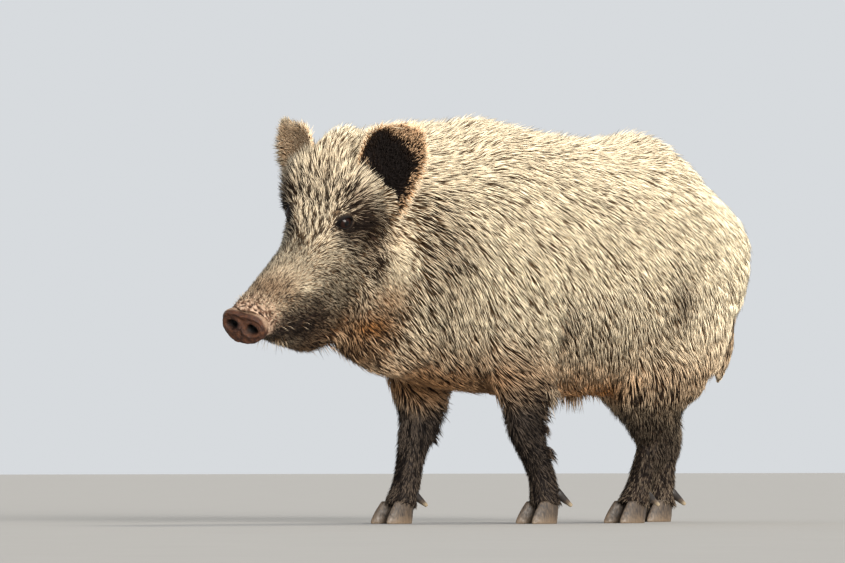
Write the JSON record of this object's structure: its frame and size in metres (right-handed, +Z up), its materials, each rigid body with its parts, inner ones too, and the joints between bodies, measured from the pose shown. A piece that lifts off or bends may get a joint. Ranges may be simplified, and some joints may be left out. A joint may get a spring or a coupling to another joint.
{
  "type": "wild boar",
  "caption": "Life-size still model of a young wild boar in mid-step, head lowered and turned a little to its left.",
  "frame": {"origin": "on the floor under the middle of the bounding box", "axes": "+X towards the snout, +Y to the boar's left, +Z up"},
  "size_m": [1.2856, 0.3932, 0.728],
  "materials": {
    "coat": "coarse bristly coat, cream tips over dark brown roots, dark legs and ears",
    "snout_leather": "bare moist brown skin of the snout disc",
    "eye": "wet dark brown eye",
    "hoof_horn": "worn dark horn of hooves and dewclaws"
  },
  "bodies": {
    "root": {"hoof_fore_left_inner": "hoof_horn", "dewclaw_fore_left_inner": "hoof_horn", "hoof_fore_left_outer": "hoof_horn", "dewclaw_fore_left_outer": "hoof_horn", "hoof_fore_right_inner": "hoof_horn", "dewclaw_fore_right_inner": "hoof_horn", "hoof_fore_right_outer": "hoof_horn", "dewclaw_fore_right_outer": "hoof_horn", "hoof_hind_left_inner": "hoof_horn", "dewclaw_hind_left_inner": "hoof_horn", "hoof_hind_left_outer": "hoof_horn", "dewclaw_hind_left_outer": "hoof_horn", "hoof_hind_right_inner": "hoof_horn", "dewclaw_hind_right_inner": "hoof_horn", "hoof_hind_right_outer": "hoof_horn", "dewclaw_hind_right_outer": "hoof_horn", "eye_left": "eye", "eye_right": "eye", "snout_disc": "snout_leather", "tail": "coat", "ear_left": "coat", "ear_right": "coat", "foreleg_left": "coat", "foreleg_right": "coat", "hindleg_left": "coat", "hindleg_right": "coat", "head": "coat", "neck": "coat", "trunk": "coat"}
  },
  "joints": []
}
